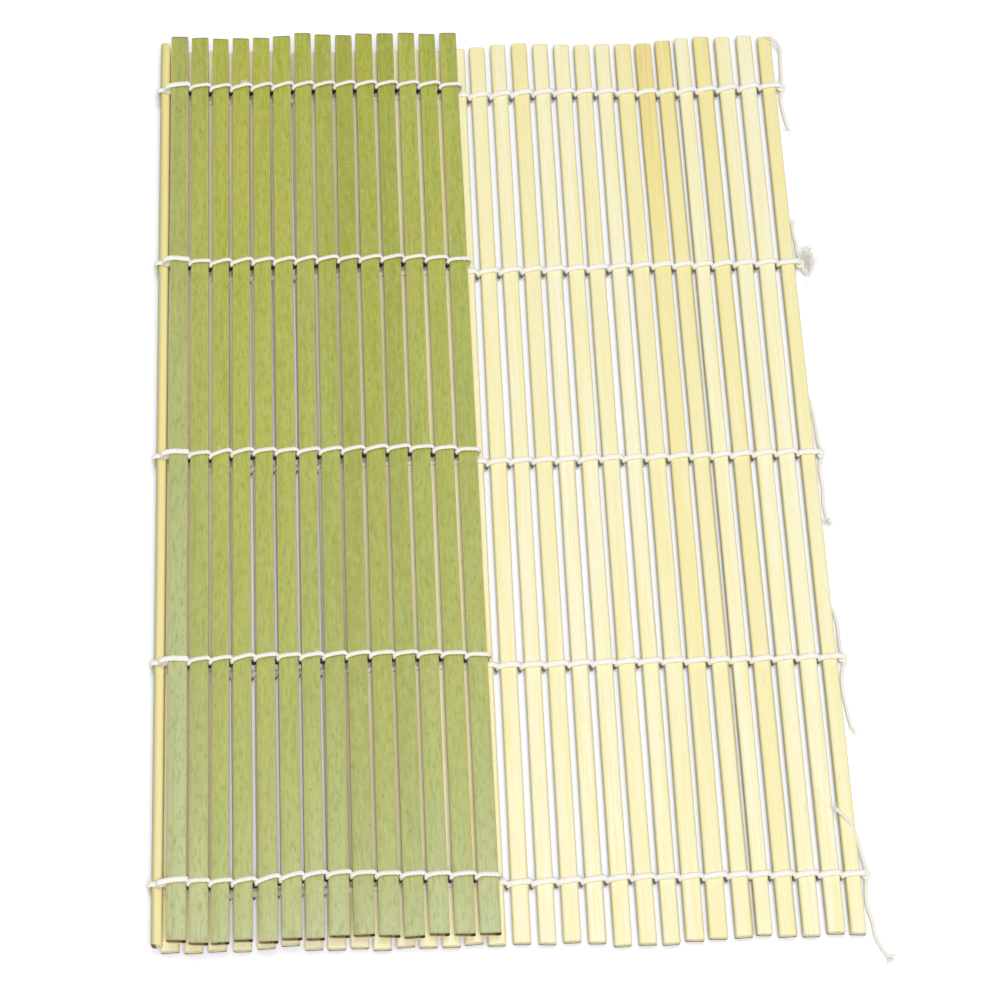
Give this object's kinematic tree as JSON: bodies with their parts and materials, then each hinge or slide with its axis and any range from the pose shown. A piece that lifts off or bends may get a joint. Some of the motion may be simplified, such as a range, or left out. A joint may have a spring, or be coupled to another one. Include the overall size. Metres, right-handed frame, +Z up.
{
  "type": "sushi rolling mat",
  "caption": "Rolling mat of flat bamboo slats, green skin on one face and pale on the other, twined together with rows of cotton thread and folded over near one edge.",
  "frame": {"origin": "on the table, under the middle of the mat as it lies folded", "axes": "+Y along the slats, +X across them towards the knotted edge, +Z up"},
  "size_m": [0.1672, 0.2476, 0.0113],
  "materials": {
    "bamboo": "satin",
    "cotton_thread": "matte"
  },
  "bodies": {
    "slat_01": {"slat_01": "bamboo"},
    "slat_02": {"slat_02": "bamboo"},
    "slat_03": {"slat_03": "bamboo"},
    "slat_04": {"slat_04": "bamboo"},
    "slat_05": {"slat_05": "bamboo"},
    "slat_06": {"slat_06": "bamboo"},
    "slat_07": {"slat_07": "bamboo"},
    "slat_08": {"slat_08": "bamboo"},
    "slat_09": {"slat_09": "bamboo"},
    "slat_10": {"slat_10": "bamboo"},
    "slat_11": {"slat_11": "bamboo"},
    "slat_12": {"slat_12": "bamboo"},
    "slat_13": {"slat_13": "bamboo"},
    "slat_14": {"slat_14": "bamboo"},
    "slat_15": {"slat_15": "bamboo"},
    "slat_16": {"slat_16": "bamboo"},
    "slat_17": {"slat_17": "bamboo"},
    "slat_18": {"slat_18": "bamboo"},
    "slat_19": {"slat_19": "bamboo"},
    "slat_20": {"slat_20": "bamboo"},
    "slat_21": {"slat_21": "bamboo"},
    "slat_22": {"slat_22": "bamboo"},
    "slat_23": {"slat_23": "bamboo"},
    "slat_24": {"slat_24": "bamboo"},
    "slat_25": {"slat_25": "bamboo"},
    "slat_26": {"slat_26": "bamboo"},
    "slat_27": {"slat_27": "bamboo"},
    "slat_28": {"slat_28": "bamboo"},
    "slat_29": {"slat_29": "bamboo"},
    "slat_30": {"slat_30": "bamboo", "binding_thread_1": "cotton_thread", "binding_thread_2": "cotton_thread", "binding_thread_3": "cotton_thread", "binding_thread_4": "cotton_thread", "binding_thread_5": "cotton_thread"},
    "slat_31": {"slat_31": "bamboo"},
    "slat_32": {"slat_32": "bamboo"},
    "slat_33": {"slat_33": "bamboo"},
    "slat_34": {"slat_34": "bamboo"},
    "slat_35": {"slat_35": "bamboo"},
    "slat_36": {"slat_36": "bamboo"},
    "slat_37": {"slat_37": "bamboo"},
    "slat_38": {"slat_38": "bamboo"},
    "slat_39": {"slat_39": "bamboo"},
    "slat_40": {"slat_40": "bamboo"},
    "slat_41": {"slat_41": "bamboo"},
    "slat_42": {"slat_42": "bamboo"},
    "slat_43": {"slat_43": "bamboo"},
    "slat_44": {"slat_44": "bamboo"},
    "slat_45": {"slat_45": "bamboo"}
  },
  "joints": [
    {"name": "fold_lower_hinge", "type": "hinge", "parent": "slat_30", "child": "slat_31", "pos_m": [-0.08084, 0, 0.00291], "axis": [0, -1, 0], "range_deg": [0, 90], "deforming": ["binding_thread_1", "binding_thread_2", "binding_thread_3", "binding_thread_4", "binding_thread_5"]},
    {"name": "fold_upper_hinge", "type": "hinge", "parent": "slat_31", "child": "slat_32", "pos_m": [-0.08082, 0, 0.0084], "axis": [0, -1, 0], "range_deg": [0, 91.69], "deforming": ["binding_thread_1", "binding_thread_2", "binding_thread_3", "binding_thread_4", "binding_thread_5"]},
    {"name": "open_hinge_01", "type": "hinge", "parent": "slat_16", "child": "slat_15", "pos_m": [-0.00213, 0, 0.00215], "axis": [0, 1, 0], "range_deg": [-20, 20], "deforming": ["binding_thread_1", "binding_thread_2", "binding_thread_3", "binding_thread_4", "binding_thread_5"]},
    {"name": "open_hinge_02", "type": "hinge", "parent": "slat_15", "child": "slat_14", "pos_m": [0.00336, 0, 0.00215], "axis": [0, 1, 0], "range_deg": [-20, 20], "deforming": ["binding_thread_1", "binding_thread_2", "binding_thread_3", "binding_thread_4", "binding_thread_5"]},
    {"name": "open_hinge_03", "type": "hinge", "parent": "slat_14", "child": "slat_13", "pos_m": [0.00885, 0, 0.00215], "axis": [0, 1, 0], "range_deg": [-20, 20], "deforming": ["binding_thread_1", "binding_thread_2", "binding_thread_3", "binding_thread_4", "binding_thread_5"]},
    {"name": "open_hinge_04", "type": "hinge", "parent": "slat_13", "child": "slat_12", "pos_m": [0.01434, 0, 0.00215], "axis": [0, 1, 0], "range_deg": [-20, 20], "deforming": ["binding_thread_1", "binding_thread_2", "binding_thread_3", "binding_thread_4", "binding_thread_5"]},
    {"name": "open_hinge_05", "type": "hinge", "parent": "slat_12", "child": "slat_11", "pos_m": [0.01983, 0, 0.00215], "axis": [0, 1, 0], "range_deg": [-20, 20], "deforming": ["binding_thread_1", "binding_thread_2", "binding_thread_3", "binding_thread_4", "binding_thread_5"]},
    {"name": "open_hinge_06", "type": "hinge", "parent": "slat_11", "child": "slat_10", "pos_m": [0.02532, 0, 0.00215], "axis": [0, 1, 0], "range_deg": [-20, 20], "deforming": ["binding_thread_1", "binding_thread_2", "binding_thread_3", "binding_thread_4", "binding_thread_5"]},
    {"name": "open_hinge_07", "type": "hinge", "parent": "slat_10", "child": "slat_09", "pos_m": [0.03081, 0, 0.00215], "axis": [0, 1, 0], "range_deg": [-20, 20], "deforming": ["binding_thread_1", "binding_thread_2", "binding_thread_3", "binding_thread_4", "binding_thread_5"]},
    {"name": "open_hinge_08", "type": "hinge", "parent": "slat_09", "child": "slat_08", "pos_m": [0.0363, 0, 0.00215], "axis": [0, 1, 0], "range_deg": [-20, 20], "deforming": ["binding_thread_1", "binding_thread_2", "binding_thread_3", "binding_thread_4", "binding_thread_5"]},
    {"name": "open_hinge_09", "type": "hinge", "parent": "slat_08", "child": "slat_07", "pos_m": [0.04179, 0, 0.00215], "axis": [0, 1, 0], "range_deg": [-20, 20], "deforming": ["binding_thread_1", "binding_thread_2", "binding_thread_3", "binding_thread_4", "binding_thread_5"]},
    {"name": "open_hinge_10", "type": "hinge", "parent": "slat_07", "child": "slat_06", "pos_m": [0.04728, 0, 0.00215], "axis": [0, 1, 0], "range_deg": [-20, 20], "deforming": ["binding_thread_1", "binding_thread_2", "binding_thread_3", "binding_thread_4", "binding_thread_5"]},
    {"name": "open_hinge_11", "type": "hinge", "parent": "slat_06", "child": "slat_05", "pos_m": [0.05277, 0, 0.00215], "axis": [0, 1, 0], "range_deg": [-20, 20], "deforming": ["binding_thread_1", "binding_thread_2", "binding_thread_3", "binding_thread_4", "binding_thread_5"]},
    {"name": "open_hinge_12", "type": "hinge", "parent": "slat_05", "child": "slat_04", "pos_m": [0.05826, 0, 0.00215], "axis": [0, 1, 0], "range_deg": [-20, 20], "deforming": ["binding_thread_1", "binding_thread_2", "binding_thread_3", "binding_thread_4", "binding_thread_5"]},
    {"name": "open_hinge_13", "type": "hinge", "parent": "slat_04", "child": "slat_03", "pos_m": [0.06375, 0, 0.00215], "axis": [0, 1, 0], "range_deg": [-20, 20], "deforming": ["binding_thread_1", "binding_thread_2", "binding_thread_3", "binding_thread_4", "binding_thread_5"]},
    {"name": "open_hinge_14", "type": "hinge", "parent": "slat_03", "child": "slat_02", "pos_m": [0.06924, 0, 0.00215], "axis": [0, 1, 0], "range_deg": [-20, 20], "deforming": ["binding_thread_1", "binding_thread_2", "binding_thread_3", "binding_thread_4", "binding_thread_5"]},
    {"name": "open_hinge_15", "type": "hinge", "parent": "slat_02", "child": "slat_01", "pos_m": [0.07473, 0, 0.00215], "axis": [0, 1, 0], "range_deg": [-20, 20], "deforming": ["binding_thread_1", "binding_thread_2", "binding_thread_3", "binding_thread_4", "binding_thread_5"]},
    {"name": "upper_hinge_01", "type": "hinge", "parent": "slat_32", "child": "slat_33", "pos_m": [-0.07531, 0, 0.00902], "axis": [0, -1, 0], "range_deg": [0, 20], "deforming": ["binding_thread_1", "binding_thread_2", "binding_thread_3", "binding_thread_4", "binding_thread_5"]},
    {"name": "upper_hinge_02", "type": "hinge", "parent": "slat_33", "child": "slat_34", "pos_m": [-0.06982, 0, 0.00886], "axis": [0, -1, 0], "range_deg": [0, 20], "deforming": ["binding_thread_1", "binding_thread_2", "binding_thread_3", "binding_thread_4", "binding_thread_5"]},
    {"name": "upper_hinge_03", "type": "hinge", "parent": "slat_34", "child": "slat_35", "pos_m": [-0.06434, 0, 0.00869], "axis": [0, -1, 0], "range_deg": [0, 20], "deforming": ["binding_thread_1", "binding_thread_2", "binding_thread_3", "binding_thread_4", "binding_thread_5"]},
    {"name": "upper_hinge_04", "type": "hinge", "parent": "slat_35", "child": "slat_36", "pos_m": [-0.05885, 0, 0.00853], "axis": [0, -1, 0], "range_deg": [0, 20], "deforming": ["binding_thread_1", "binding_thread_2", "binding_thread_3", "binding_thread_4", "binding_thread_5"]},
    {"name": "upper_hinge_05", "type": "hinge", "parent": "slat_36", "child": "slat_37", "pos_m": [-0.05336, 0, 0.00837], "axis": [0, -1, 0], "range_deg": [0, 20], "deforming": ["binding_thread_1", "binding_thread_2", "binding_thread_3", "binding_thread_4", "binding_thread_5"]},
    {"name": "upper_hinge_06", "type": "hinge", "parent": "slat_37", "child": "slat_38", "pos_m": [-0.04787, 0, 0.00821], "axis": [0, -1, 0], "range_deg": [0, 20], "deforming": ["binding_thread_1", "binding_thread_2", "binding_thread_3", "binding_thread_4", "binding_thread_5"]},
    {"name": "upper_hinge_07", "type": "hinge", "parent": "slat_38", "child": "slat_39", "pos_m": [-0.04239, 0, 0.00805], "axis": [0, -1, 0], "range_deg": [0, 20], "deforming": ["binding_thread_1", "binding_thread_2", "binding_thread_3", "binding_thread_4", "binding_thread_5"]},
    {"name": "upper_hinge_08", "type": "hinge", "parent": "slat_39", "child": "slat_40", "pos_m": [-0.0369, 0, 0.00789], "axis": [0, -1, 0], "range_deg": [0, 20], "deforming": ["binding_thread_1", "binding_thread_2", "binding_thread_3", "binding_thread_4", "binding_thread_5"]},
    {"name": "upper_hinge_09", "type": "hinge", "parent": "slat_40", "child": "slat_41", "pos_m": [-0.03141, 0, 0.00772], "axis": [0, -1, 0], "range_deg": [0, 20], "deforming": ["binding_thread_1", "binding_thread_2", "binding_thread_3", "binding_thread_4", "binding_thread_5"]},
    {"name": "upper_hinge_10", "type": "hinge", "parent": "slat_41", "child": "slat_42", "pos_m": [-0.02592, 0, 0.00756], "axis": [0, -1, 0], "range_deg": [0, 20], "deforming": ["binding_thread_1", "binding_thread_2", "binding_thread_3", "binding_thread_4", "binding_thread_5"]},
    {"name": "upper_hinge_11", "type": "hinge", "parent": "slat_42", "child": "slat_43", "pos_m": [-0.02044, 0, 0.0074], "axis": [0, -1, 0], "range_deg": [0, 20], "deforming": ["binding_thread_1", "binding_thread_2", "binding_thread_3", "binding_thread_4", "binding_thread_5"]},
    {"name": "upper_hinge_12", "type": "hinge", "parent": "slat_43", "child": "slat_44", "pos_m": [-0.01495, 0, 0.00724], "axis": [0, -1, 0], "range_deg": [0, 20], "deforming": ["binding_thread_1", "binding_thread_2", "binding_thread_3", "binding_thread_4", "binding_thread_5"]},
    {"name": "upper_hinge_13", "type": "hinge", "parent": "slat_44", "child": "slat_45", "pos_m": [-0.00946, 0, 0.00708], "axis": [0, -1, 0], "range_deg": [0, 20], "deforming": ["binding_thread_1", "binding_thread_2", "binding_thread_3", "binding_thread_4", "binding_thread_5"]},
    {"name": "covered_hinge_01", "type": "hinge", "parent": "slat_30", "child": "slat_29", "pos_m": [-0.07548, 0, 0.00215], "axis": [0, -1, 0], "range_deg": [-20, 0], "deforming": ["binding_thread_1", "binding_thread_2", "binding_thread_3", "binding_thread_4", "binding_thread_5"]},
    {"name": "covered_hinge_02", "type": "hinge", "parent": "slat_29", "child": "slat_28", "pos_m": [-0.07025, 0, 0.00215], "axis": [0, -1, 0], "range_deg": [-20, 0], "deforming": ["binding_thread_1", "binding_thread_2", "binding_thread_3", "binding_thread_4", "binding_thread_5"]},
    {"name": "covered_hinge_03", "type": "hinge", "parent": "slat_28", "child": "slat_27", "pos_m": [-0.06502, 0, 0.00215], "axis": [0, -1, 0], "range_deg": [-20, 0], "deforming": ["binding_thread_1", "binding_thread_2", "binding_thread_3", "binding_thread_4", "binding_thread_5"]},
    {"name": "covered_hinge_04", "type": "hinge", "parent": "slat_27", "child": "slat_26", "pos_m": [-0.05979, 0, 0.00215], "axis": [0, -1, 0], "range_deg": [-20, 0], "deforming": ["binding_thread_1", "binding_thread_2", "binding_thread_3", "binding_thread_4", "binding_thread_5"]},
    {"name": "covered_hinge_05", "type": "hinge", "parent": "slat_26", "child": "slat_25", "pos_m": [-0.05456, 0, 0.00215], "axis": [0, -1, 0], "range_deg": [-20, 0], "deforming": ["binding_thread_1", "binding_thread_2", "binding_thread_3", "binding_thread_4", "binding_thread_5"]},
    {"name": "covered_hinge_06", "type": "hinge", "parent": "slat_25", "child": "slat_24", "pos_m": [-0.04933, 0, 0.00215], "axis": [0, -1, 0], "range_deg": [-20, 0], "deforming": ["binding_thread_1", "binding_thread_2", "binding_thread_3", "binding_thread_4", "binding_thread_5"]},
    {"name": "covered_hinge_07", "type": "hinge", "parent": "slat_24", "child": "slat_23", "pos_m": [-0.0441, 0, 0.00215], "axis": [0, -1, 0], "range_deg": [-20, 0], "deforming": ["binding_thread_1", "binding_thread_2", "binding_thread_3", "binding_thread_4", "binding_thread_5"]},
    {"name": "covered_hinge_08", "type": "hinge", "parent": "slat_23", "child": "slat_22", "pos_m": [-0.03887, 0, 0.00215], "axis": [0, -1, 0], "range_deg": [-20, 0], "deforming": ["binding_thread_1", "binding_thread_2", "binding_thread_3", "binding_thread_4", "binding_thread_5"]},
    {"name": "covered_hinge_09", "type": "hinge", "parent": "slat_22", "child": "slat_21", "pos_m": [-0.03364, 0, 0.00215], "axis": [0, -1, 0], "range_deg": [-20, 0], "deforming": ["binding_thread_1", "binding_thread_2", "binding_thread_3", "binding_thread_4", "binding_thread_5"]},
    {"name": "covered_hinge_10", "type": "hinge", "parent": "slat_21", "child": "slat_20", "pos_m": [-0.02841, 0, 0.00215], "axis": [0, -1, 0], "range_deg": [-20, 0], "deforming": ["binding_thread_1", "binding_thread_2", "binding_thread_3", "binding_thread_4", "binding_thread_5"]},
    {"name": "covered_hinge_11", "type": "hinge", "parent": "slat_20", "child": "slat_19", "pos_m": [-0.02318, 0, 0.00215], "axis": [0, -1, 0], "range_deg": [-20, 0], "deforming": ["binding_thread_1", "binding_thread_2", "binding_thread_3", "binding_thread_4", "binding_thread_5"]},
    {"name": "covered_hinge_12", "type": "hinge", "parent": "slat_19", "child": "slat_18", "pos_m": [-0.01795, 0, 0.00215], "axis": [0, -1, 0], "range_deg": [-20, 0], "deforming": ["binding_thread_1", "binding_thread_2", "binding_thread_3", "binding_thread_4", "binding_thread_5"]},
    {"name": "covered_hinge_13", "type": "hinge", "parent": "slat_18", "child": "slat_17", "pos_m": [-0.01272, 0, 0.00215], "axis": [0, -1, 0], "range_deg": [-20, 0], "deforming": ["binding_thread_1", "binding_thread_2", "binding_thread_3", "binding_thread_4", "binding_thread_5"]},
    {"name": "covered_hinge_14", "type": "hinge", "parent": "slat_17", "child": "slat_16", "pos_m": [-0.00749, 0, 0.00215], "axis": [0, -1, 0], "range_deg": [-20, 0], "deforming": ["binding_thread_1", "binding_thread_2", "binding_thread_3", "binding_thread_4", "binding_thread_5"]}
  ]
}
